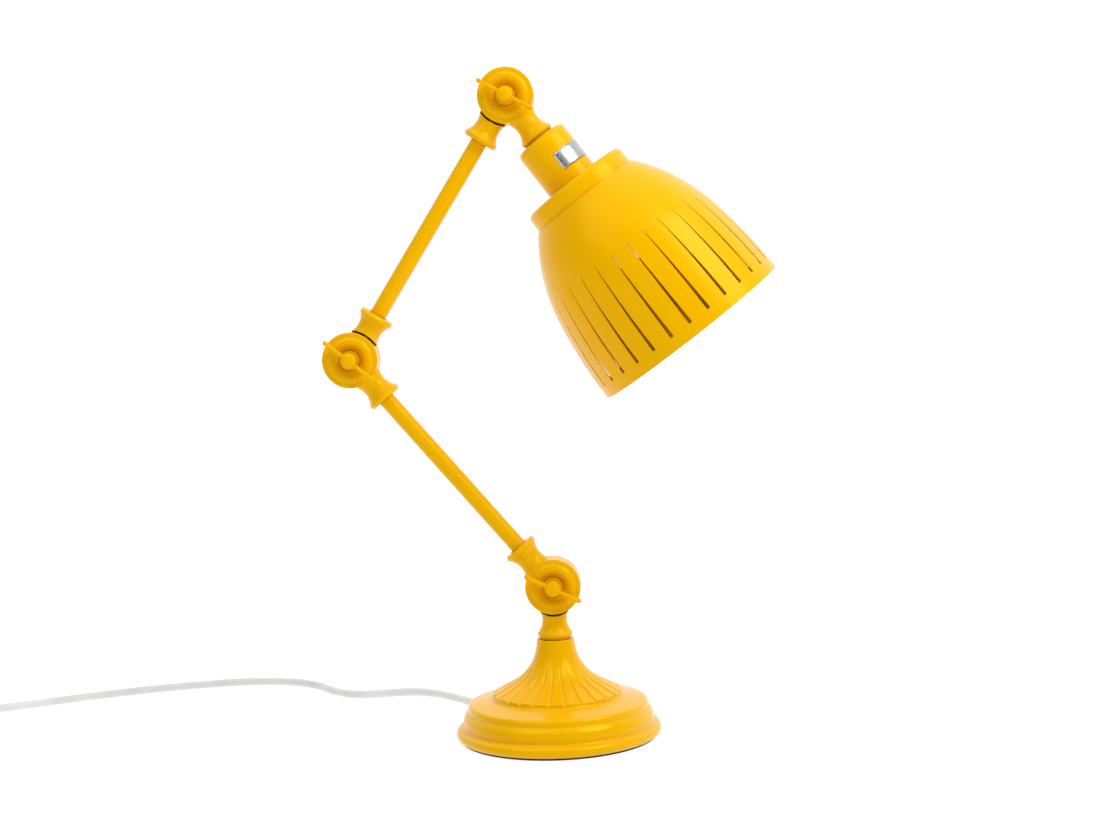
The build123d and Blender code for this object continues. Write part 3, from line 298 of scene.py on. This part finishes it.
# Finishes
def baked_paint(name, casting=0.0, sheen=0.26, gloss=0.3, shade_in_corners=True):
    """Baked semi-gloss paint: a strong yellow with soft reflections and slight orange peel.

    Casting is the depth of the broad unevenness that a die casting keeps under its paint, sheen
    its mean roughness and gloss its specular level. Corners and creases get painted shade: ambient
    occlusion mixes the dark brown in there, unless shade_in_corners is off, as on a plain tube.
    """
    finish = bpy.context.scene.lamp_finish
    material, tree, output = new_material(name)
    place = object_place(tree)
    # Painted shade: ambient occlusion blends the paint towards a dark brown in corners and creases
    crease = add(
        tree, "ShaderNodeAmbientOcclusion", samples=12, values={"Distance": 4 * MM}
    ).outputs["AO"]
    deep = add(
        tree,
        "ShaderNodeMapRange",
        values={
            "From Min": 0.1,
            "From Max": 0.7,
            "To Min": 1.0 if shade_in_corners else 0.0,
            "To Max": 0.0,
        },
        links={"Value": crease},
    ).outputs["Result"]
    colour = blend_colours(tree, deep, finish.paint, finish.painted_corner_shade)
    peel = noise(tree, place, finish.peel, detail=1.5)
    normal = relief(tree, peel.outputs["Fac"], finish.peel_depth)
    if casting:
        broad = noise(tree, place, 11 * MM, detail=2.0)
        normal = relief(tree, broad.outputs["Fac"], casting, under=normal)
    cloudy = noise(tree, place, 18 * MM, detail=4.0)
    roughness = spread(tree, cloudy.outputs["Fac"], sheen - 0.03, sheen + 0.05)
    shader = add(
        tree,
        "ShaderNodeBsdfPrincipled",
        values={
            "Metallic": 0.0,
            "IOR": 1.5,
            "Specular IOR Level": gloss,
            "Specular Tint": hex_linear("#FFDC50"),
        },
        links={"Base Color": colour, "Roughness": roughness, "Normal": normal},
    )
    tree.links.new(shader.outputs["BSDF"], output.inputs["Surface"])
    return material


def plain_finish(name, colour, second, patch, roughness, depth, grain, metallic=0.0, **values):
    """A finish of two close colours in soft patches, with a fine grain in its relief."""
    material, tree, output = new_material(name)
    place = object_place(tree)
    patches = noise(tree, place, patch, detail=4.0)
    mixed = blend_colours(tree, spread(tree, patches.outputs["Fac"], 0.0, 1.0), colour, second)
    fine = noise(tree, place, grain, detail=2.0)
    shader = add(
        tree,
        "ShaderNodeBsdfPrincipled",
        values={"Metallic": metallic, **values},
        links={
            "Base Color": mixed,
            "Roughness": spread(tree, patches.outputs["Fac"], roughness - 0.05, roughness + 0.06),
            "Normal": relief(tree, fine.outputs["Fac"], depth),
        },
    )
    tree.links.new(shader.outputs["BSDF"], output.inputs["Surface"])
    return material


def inner_painted_shade():
    """Painted shade inside the lamp shade: a dull, darker yellow-brown in soft patches that stands
    in for the shade within it.
    """
    return plain_finish(
        "inner_painted_shade_coat",
        "#B07200",
        "#8E5A00",
        14 * MM,
        0.7,
        0.02 * MM,
        1.1 * MM,
        IOR=1.35,
    )


def sheath_pvc():
    """Extruded flexible PVC: pale grey-white, soft sheen, faint draw marks and a little dust."""
    return plain_finish(
        "extruded_pvc_sheath", "#EFEFEE", "#E2E2E0", 25 * MM, 0.42, 0.02 * MM, 1.2 * MM, IOR=1.53
    )


def moulded_plastic():
    """Injection-moulded polypropylene in the cord's colour, with a fine spark-eroded grain."""
    return plain_finish(
        "moulded_polypropylene", "#F0F0EE", "#E6E6E3", 12 * MM, 0.46, 0.03 * MM, 0.9 * MM, IOR=1.49
    )


def heatproof_plastic():
    """Black phenolic moulding of a lampholder: deep, slightly glossy and faintly mottled."""
    return plain_finish(
        "phenolic_moulding", "#16150F", "#211F1A", 6 * MM, 0.38, 0.02 * MM, 0.8 * MM, IOR=1.6
    )


def zinc_plate():
    """Zinc-plated steel: bluish grey with cloudy passivation."""
    return plain_finish(
        "zinc_plated_steel", "#C9CCCE", "#B9BBB4", 3 * MM, 0.34, 0.01 * MM, 0.7 * MM, metallic=1.0
    )


def nickel_plate():
    """Nickel plate on brass: warm, fairly bright metal."""
    return plain_finish(
        "nickel_plate", "#D9D3C8", "#CFC8BA", 5 * MM, 0.22, 0.005 * MM, 0.8 * MM, metallic=1.0
    )


def bare_brass():
    """Stamped brass, slightly tarnished in patches."""
    return plain_finish(
        "stamped_brass", "#D9B45F", "#B88F45", 4 * MM, 0.3, 0.01 * MM, 0.8 * MM, metallic=1.0
    )


def raw_iron():
    """Raw sand-cast iron of the hidden weight: dark, rough and grainy."""
    return plain_finish(
        "sand_cast_iron", "#3A3835", "#4A453F", 7 * MM, 0.72, 0.25 * MM, 1.4 * MM, metallic=0.7
    )


def foam_pad():
    """Closed-cell foam sheet under the base: black, dull and finely pitted."""
    return plain_finish(
        "closed_cell_foam", "#1B1B1B", "#262626", 9 * MM, 0.88, 0.12 * MM, 0.9 * MM, IOR=1.45
    )


def hard_fibre():
    """Vulcanised fibre of the friction washers: nearly black with a dull edge."""
    return plain_finish(
        "vulcanised_fibre", "#14110C", "#201A12", 3 * MM, 0.7, 0.03 * MM, 0.7 * MM, IOR=1.5
    )


def tie_strip():
    """Soft black PVC of the twist tie round the stored cord."""
    return plain_finish(
        "twist_tie_pvc", "#1E1E1F", "#2A2A2B", 4 * MM, 0.5, 0.02 * MM, 0.8 * MM, IOR=1.5
    )


def opal_glass():
    """Opal glass of the bulb: milky white with a clear glossy skin."""
    return plain_finish(
        "opal_glass", "#F4F1E9", "#EFEBE1", 20 * MM, 0.12, 0.002 * MM, 4 * MM, IOR=1.5
    )


def label_foil():
    """Aluminium foil label: cool silver with fine rolled lines and soft dents."""
    material, tree, output = new_material("aluminium_foil")
    place = object_place(tree)
    stretched = add(
        tree, "ShaderNodeMapping", values={"Scale": (1, 8, 1)}, links={"Vector": place}
    ).outputs["Vector"]
    lines = noise(tree, stretched, 1.6 * MM, detail=3.0)
    dents = noise(tree, place, 6 * MM, detail=1.0)
    normal = relief(tree, lines.outputs["Fac"], 0.01 * MM)
    shader = add(
        tree,
        "ShaderNodeBsdfPrincipled",
        values={"Metallic": 1.0},
        links={
            "Base Color": blend_colours(tree, dents.outputs["Fac"], "#D4D6D8", "#AEB1B5"),
            "Roughness": spread(tree, lines.outputs["Fac"], 0.25, 0.42),
            "Normal": relief(tree, dents.outputs["Fac"], 0.06 * MM, under=normal),
        },
    )
    tree.links.new(shader.outputs["BSDF"], output.inputs["Surface"])
    return material


def dress(material, *nodes):
    """Put one finish on CAD nodes."""
    for name in nodes:
        mesh_object = frame["nodes"][name]
        mesh_object.data.materials.clear()
        mesh_object.data.materials.append(material)


# Operators, one for each piece or group of like pieces
class PaintCastings(bpy.types.Operator):
    """Paint the cast pieces: the base, the knuckles and the wing screws."""

    bl_idname = "desk_lamp.paint_castings"
    bl_label = "Paint the castings"

    def execute(self, context):
        on_base = baked_paint("baked_paint_on_base", casting=0.05 * MM, sheen=0.2, gloss=0.5)
        dress(on_base, "base_casting", "neck_ring")
        knuckles = [name for name in frame["nodes"] if name.endswith("_knuckle")]
        on_knuckles = baked_paint(
            "baked_paint_on_knuckles", casting=0.06 * MM, sheen=0.23, gloss=0.4
        )
        dress(on_knuckles, *knuckles)
        screws = [name for name in frame["nodes"] if name.endswith("_wing_screw")]
        dress(baked_paint("baked_paint_on_screws", casting=0.04 * MM), *screws)
        on_washers = baked_paint("baked_paint_on_washers", sheen=0.32)
        dress(on_washers, "low_washer", "mid_washer", "top_washer")
        return {"FINISHED"}


class PaintTubesAndSheet(bpy.types.Operator):
    """Paint the drawn and spun pieces: the tubes, the socket cup and the shade, with painted shade
    on the shade's inside.
    """

    bl_idname = "desk_lamp.paint_sheet"
    bl_label = "Paint the tubes and the shade"

    def execute(self, context):
        on_tube = baked_paint("baked_paint_on_tube", sheen=0.24, shade_in_corners=False)
        dress(on_tube, "lower_arm_tube", "upper_arm_tube")
        dress(baked_paint("baked_paint_on_sheet", sheen=0.22), "shade", "socket_cup", "head_ring")
        shade = frame["nodes"]["shade"]
        # Painted shade: faces inside the shade get the darker inner finish, standing in for the
        # shade within it
        shade.data.materials.append(inner_painted_shade())
        for polygon in shade.data.polygons:
            centre = shade.matrix_world @ polygon.center - HEAD_AT
            normal = shade.matrix_world.to_3x3() @ polygon.normal
            from_axis = centre - HEAD_DIR * centre.dot(HEAD_DIR)
            if normal.dot(from_axis.normalized()) < INWARD:
                polygon.material_index = 1
        return {"FINISHED"}


class FinishFittings(bpy.types.Operator):
    """Give the inner fittings their metals, plastics and glass."""

    bl_idname = "desk_lamp.finish_fittings"
    bl_label = "Finish the fittings"

    def execute(self, context):
        dress(raw_iron(), "base_weight")
        dress(foam_pad(), "base_pad")
        dress(zinc_plate(), "base_nipple", "base_nut", "head_nipple", "head_nut")
        dress(hard_fibre(), "low_friction_washer", "mid_friction_washer", "top_friction_washer")
        dress(heatproof_plastic(), "lampholder", "shade_ring")
        dress(bare_brass(), "lampholder_shell", "switch_terminals")
        dress(nickel_plate(), "bulb_cap", "plug_pins")
        dress(opal_glass(), "bulb_glass")
        dress(
            moulded_plastic(),
            "cord_gland",
            "switch_lower_shell",
            "switch_upper_shell",
            "switch_rocker",
            "plug_body",
        )
        dress(tie_strip(), "cord_tie")
        dress(sheath_pvc(), "base_lead", "lower_arm_lead", "upper_arm_lead", "head_lead")
        return {"FINISHED"}


class CastMiddleScrew(bpy.types.Operator):
    """Cast the middle wing screw with both its wings, as the lowest one has them."""

    bl_idname = "desk_lamp.cast_middle_screw"
    bl_label = "Cast the middle screw"

    def execute(self, context):
        low_at = JOINT_AT["low_wing_turn"]
        screw = bmesh.new()
        screw.from_mesh(frame["nodes"]["low_wing_screw"].data)
        bmesh.ops.remove_doubles(screw, verts=screw.verts[:], dist=MERGE_WITHIN)
        turned = Matrix.Rotation(context.scene.lamp_screws.mid_turn, 3, "Y")
        bmesh.ops.rotate(screw, cent=low_at, matrix=turned, verts=screw.verts[:])
        bmesh.ops.translate(screw, vec=JOINT_AT["mid_wing_turn"] - low_at, verts=screw.verts[:])
        mesh = bpy.data.meshes.new("middle_wing_screw")
        screw.to_mesh(mesh)
        screw.free()
        mesh.shade_smooth()
        mesh.set_sharp_from_angle(angle=SHARP_FROM)
        mesh.materials.append(baked_paint("baked_paint_on_middle_screw", casting=0.04 * MM))
        whole = bpy.data.objects.new("middle_wing_screw", mesh)
        context.scene.collection.objects.link(whole)
        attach(whole, "mid_wing")
        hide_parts("mid_wing_screw")
        return {"FINISHED"}


# Where the cord leaves the base, and where the switch, the coil and the plug lie
EXIT_TURN = radians(127)
EXIT_FROM_AXIS = 107 * MM
EXIT_HEIGHT = 6 * MM
SWITCH_AT = (-510 * MM, 64 * MM)
SWITCH_REACH = 35 * MM
SWITCH_ENTRY = 7 * MM
SHEATH_Z = 3.3 * MM
COIL_Y = -4 * MM
COIL_LEAD_IN = 6.5 * MM
PLUG_CORD_Z = 6.85 * MM
POINTS_PER_TURN = 24


def coil_points(cord):
    """The stored coil's turns, clockwise from above: in on the floor, out again on top."""
    centre = Vector((SWITCH_AT[0] - cord.coil_radius, COIL_Y, 0))
    low = cord.diameter / 2 + cord.coil_lift
    climb_from = cord.coil_turns / 2 - 0.25
    points = []
    for step in range(int(cord.coil_turns * POINTS_PER_TURN) + 1):
        turn = step / POINTS_PER_TURN
        radius = cord.coil_radius - cord.coil_pitch * min(turn, cord.coil_turns - turn)
        radius /= cos(pi / POINTS_PER_TURN)
        part = min(max((turn - climb_from) / 0.5, 0), 1)
        height = low + cord.coil_pitch * part**2 * (3 - 2 * part)
        angle = -2 * pi * turn
        points.append(centre + Vector((radius * cos(angle), radius * sin(angle), height)))
    return points


def cord_route(cord):
    """The whole cord's points: from the base, through the switch and the coil, to the plug."""
    outward = Vector((cos(EXIT_TURN), sin(EXIT_TURN), 0))
    lift = Vector((0, 0, EXIT_HEIGHT))
    x, y = SWITCH_AT
    coil = coil_points(cord)
    low = coil[0].z
    high = coil[-1].z
    tail_x = SWITCH_AT[0] - 2 * cord.coil_radius
    tail_y = COIL_Y + COIL_LEAD_IN
    plug = Vector((tail_x + 6 * MM, tail_y + 60 * MM, PLUG_CORD_Z))
    return [
        outward * (EXIT_FROM_AXIS - 3 * MM) + lift,
        outward * (EXIT_FROM_AXIS + 29 * MM) + lift,
        Vector((-0.107, 0.1476, SHEATH_Z)),
        Vector((-0.1305, 0.16, SHEATH_Z)),
        Vector((-0.1752, 0.1498, SHEATH_Z)),
        Vector((-0.1989, 0.1685, SHEATH_Z)),
        Vector((-0.216, 0.1959, SHEATH_Z)),
        Vector((-0.24, 0.214, SHEATH_Z)),
        Vector((-0.271, 0.222, SHEATH_Z)),
        Vector((-0.306, 0.22, SHEATH_Z)),
        Vector((-0.341, 0.212, SHEATH_Z)),
        Vector((-0.377, 0.2, SHEATH_Z)),
        Vector((-0.411, 0.1855, SHEATH_Z)),
        Vector((-0.441, 0.1705, SHEATH_Z)),
        Vector((-0.4655, 0.157, SHEATH_Z)),
        Vector((-0.4855, 0.1435, 0.0042)),
        Vector((-0.502, 0.1285, 0.0058)),
        Vector((x, y + SWITCH_REACH + 0.013, SWITCH_ENTRY)),
        Vector((x, y + SWITCH_REACH, SWITCH_ENTRY)),
        Vector((x, y + 0.022, 0.0066)),
        Vector((x, y + 0.013, 0.0055)),
        Vector((x, y, 0.0054)),
        Vector((x, y - 0.013, 0.0055)),
        Vector((x, y - 0.022, 0.0066)),
        Vector((x, y - SWITCH_REACH, SWITCH_ENTRY)),
        Vector((x, y - SWITCH_REACH - 0.0075, SWITCH_ENTRY)),
        Vector((x, tail_y + 0.0075, low)),
        Vector((x, tail_y, low)),
        *coil,
        Vector((tail_x, tail_y, high)),
        Vector((tail_x, tail_y + 0.014, high)),
        Vector((tail_x + 0.0032, tail_y + 0.03, high - 0.0026)),
        Vector((plug.x, plug.y - 0.014, plug.z)),
        plug + Vector((0, 3 * MM, 0)),
    ]


class LayCord(bpy.types.Operator):
    """Lay the free cord from the base through its switch and coil to the plug."""

    bl_idname = "desk_lamp.lay_cord"
    bl_label = "Lay the cord"

    def execute(self, context):
        cord = context.scene.lamp_cord
        route = cord_route(cord)
        curve = bpy.data.curves.new("power_cord", "CURVE")
        curve.dimensions = "3D"
        curve.bevel_depth = cord.diameter / 2
        curve.bevel_resolution = 5
        curve.use_fill_caps = True
        spline = curve.splines.new("NURBS")
        spline.points.add(len(route) - 1)
        for point, place in zip(spline.points, route):
            point.co = (*place, 1)
        spline.order_u = 3
        spline.use_endpoint_u = True
        spline.resolution_u = 6
        curve.materials.append(sheath_pvc())
        sheath = bpy.data.objects.new("power_cord", curve)
        context.scene.collection.objects.link(sheath)
        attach(sheath, "base")
        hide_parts("cord_lamp_stretch", "cord_switch_stretch", "cord_coil", "cord_tail")
        return {"FINISHED"}


class StickLabel(bpy.types.Operator):
    """Stick the bare foil label round the socket cup."""

    bl_idname = "desk_lamp.stick_label"
    bl_label = "Stick the label"

    def execute(self, context):
        label = context.scene.lamp_label
        radius = CUP_RADIUS + GLUE
        upward = FRONT.cross(HEAD_DIR)
        first_side = FRONT * cos(label.turn_from) + upward * sin(label.turn_from)
        sheet = bmesh.new()
        start = HEAD_AT + HEAD_DIR * label.start + first_side * radius
        ends = [sheet.verts.new(start), sheet.verts.new(start + HEAD_DIR * label.length)]
        edge = sheet.edges.new(ends)
        bmesh.ops.subdivide_edges(sheet, edges=[edge], cuts=LABEL_ROWS)
        bmesh.ops.spin(
            sheet,
            geom=sheet.verts[:] + sheet.edges[:],
            cent=HEAD_AT,
            axis=HEAD_DIR,
            dvec=(0, 0, 0),
            angle=-(label.turn_to - label.turn_from),
            steps=LABEL_STEPS,
            use_merge=False,
        )
        corners = [vertex for vertex in sheet.verts if len(vertex.link_edges) == 2]
        bmesh.ops.bevel(
            sheet,
            geom=corners,
            offset=LABEL_CORNER,
            segments=4,
            profile=0.5,
            affect="VERTICES",
            material=-1,
        )
        bmesh.ops.recalc_face_normals(sheet, faces=sheet.faces[:])
        outward = sum((face.normal.dot(first_side) for face in sheet.faces), 0)
        if outward < 0:
            bmesh.ops.reverse_faces(sheet, faces=sheet.faces[:])
        skin = bmesh.ops.extrude_face_region(sheet, geom=sheet.faces[:], use_keep_orig=True)
        for vertex in [item for item in skin["geom"] if isinstance(item, bmesh.types.BMVert)]:
            from_axis = vertex.co - HEAD_AT
            from_axis -= HEAD_DIR * from_axis.dot(HEAD_DIR)
            vertex.co += from_axis.normalized() * label.thickness
        bmesh.ops.recalc_face_normals(sheet, faces=sheet.faces[:])
        mesh = bpy.data.meshes.new("foil_label")
        sheet.to_mesh(mesh)
        sheet.free()
        mesh.materials.append(label_foil())
        mesh.shade_smooth()
        foil = bpy.data.objects.new("foil_label", mesh)
        context.scene.collection.objects.link(foil)
        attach(foil, "head")
        return {"FINISHED"}


def area_light(name, place, target, size, power):
    """A rectangular soft light aimed at a point."""
    lamp = bpy.data.lights.new(name, "AREA")
    lamp.shape = "RECTANGLE"
    lamp.size, lamp.size_y = size
    lamp.energy = power
    light = bpy.data.objects.new(name, lamp)
    light.location = place
    light.rotation_euler = (Vector(place) - Vector(target)).to_track_quat("Z", "Y").to_euler()
    bpy.context.scene.collection.objects.link(light)


FLOOR_RADIUS = 8
TARGET = (-0.02, 0, 0.28)
KEY_AT = (0.88, -0.6, 1.22)
KEY_TARGET = (0.115, -0.064, 0.37)
KEY_SIZE = (0.78, 0.8)
FILL_AT = (-0.74, -0.74, 1.17)
FILL_SIZE = (0.8, 0.8)
OVERHEAD_FROM = (-0.1, -0.25, 0.96)
OVERHEAD_SPREAD = radians(60)


class SetStage(bpy.types.Operator):
    """Set the camera, the floor and the soft studio lights."""

    bl_idname = "desk_lamp.set_stage"
    bl_label = "Set the stage"

    def execute(self, context):
        studio = context.scene.lamp_studio
        lens = bpy.data.cameras.new("camera")
        lens.sensor_width = SENSOR_WIDTH
        lens.lens = FOCAL_PIXELS * SENSOR_WIDTH / IMAGE_SIZE[0]
        lens.clip_end = 50
        camera = bpy.data.objects.new("camera", lens)
        turned = (
            Matrix.Rotation(studio.yaw, 4, "Z")
            @ Matrix.Rotation(radians(90) - studio.pitch, 4, "X")
            @ Matrix.Rotation(-studio.roll, 4, "Z")
        )
        camera.matrix_world = Matrix.Translation(studio.camera_at) @ turned
        context.scene.collection.objects.link(camera)
        context.scene.camera = camera

        # White table, lit from below, that runs into a white surround
        material, tree, output = new_material("studio_floor")
        place = object_place(tree)
        shader = add(
            tree,
            "ShaderNodeBsdfPrincipled",
            values={
                "Base Color": hex_linear(studio.floor),
                "Roughness": 0.6,
                "Emission Color": (1, 1, 1, 1),
                "Emission Strength": studio.floor_glow,
            },
            links={"Normal": relief(tree, noise(tree, place, 0.02).outputs["Fac"], 0.02 * MM)},
        )
        tree.links.new(shader.outputs["BSDF"], output.inputs["Surface"])
        disc = bmesh.new()
        bmesh.ops.create_circle(
            disc, cap_ends=True, segments=studio.floor_sides, radius=FLOOR_RADIUS
        )
        mesh = bpy.data.meshes.new("studio_floor")
        disc.to_mesh(mesh)
        disc.free()
        mesh.materials.append(material)
        floor = bpy.data.objects.new("studio_floor", mesh)
        context.scene.collection.objects.link(floor)

        world = bpy.data.worlds.new("surround")
        world.use_nodes = True
        tree = world.node_tree
        direction = add(tree, "ShaderNodeTexCoord").outputs["Generated"]
        depth = add(tree, "ShaderNodeSeparateXYZ", links={"Vector": direction}).outputs["Y"]
        brightness = add(
            tree,
            "ShaderNodeMapRange",
            interpolation_type="SMOOTHSTEP",
            values={
                "From Min": -0.3,
                "From Max": 0.6,
                "To Min": studio.room,
                "To Max": studio.backdrop,
            },
            links={"Value": depth},
        ).outputs["Result"]
        background = tree.nodes["Background"]
        background.inputs["Color"].default_value = (1, 1, 1, 1)
        tree.links.new(brightness, background.inputs["Strength"])
        context.scene.world = world
        context.scene.view_settings.view_transform = "Standard"

        area_light("key", KEY_AT, KEY_TARGET, KEY_SIZE, studio.key_power)
        area_light("fill", FILL_AT, TARGET, FILL_SIZE, studio.fill_power)
        sky = bpy.data.lights.new("overhead", "SUN")
        sky.energy = studio.overhead
        sky.angle = OVERHEAD_SPREAD
        overhead = bpy.data.objects.new("overhead", sky)
        overhead.rotation_euler = Vector(OVERHEAD_FROM).to_track_quat("Z", "Y").to_euler()
        context.scene.collection.objects.link(overhead)
        return {"FINISHED"}


OPERATORS = (
    SetStage,
    LayCord,
    PaintCastings,
    CastMiddleScrew,
    PaintTubesAndSheet,
    FinishFittings,
    StickLabel,
)
GROUPS = {
    "lamp_finish": LampFinish,
    "lamp_screws": LampScrews,
    "lamp_cord": LampCord,
    "lamp_label": LampLabel,
    "lamp_studio": LampStudio,
}


class LampPanel(bpy.types.Panel):
    """The lamp's values and the buttons that make its pieces."""

    bl_idname = "VIEW3D_PT_desk_lamp"
    bl_label = "Desk Lamp"
    bl_space_type = "VIEW_3D"
    bl_region_type = "UI"
    bl_category = "Desk Lamp"

    def draw(self, context):
        for group_name, group in GROUPS.items():
            values = getattr(context.scene, group_name)
            for name in group.__annotations__:
                self.layout.prop(values, name)
        for operator in OPERATORS:
            self.layout.operator(operator.bl_idname)


def register():
    for item in (*GROUPS.values(), *OPERATORS, LampPanel):
        bpy.utils.register_class(item)
    for name, group in GROUPS.items():
        setattr(bpy.types.Scene, name, PointerProperty(type=group))


def unregister():
    for name in GROUPS:
        delattr(bpy.types.Scene, name)
    for item in reversed((*GROUPS.values(), *OPERATORS, LampPanel)):
        bpy.utils.unregister_class(item)


def main():
    """Make everything in order."""
    register()
    bpy.ops.desk_lamp.set_stage()
    bpy.ops.desk_lamp.lay_cord()
    bpy.ops.desk_lamp.paint_castings()
    bpy.ops.desk_lamp.cast_middle_screw()
    bpy.ops.desk_lamp.paint_sheet()
    bpy.ops.desk_lamp.finish_fittings()
    bpy.ops.desk_lamp.stick_label()


if __name__ == "__main__":
    main()
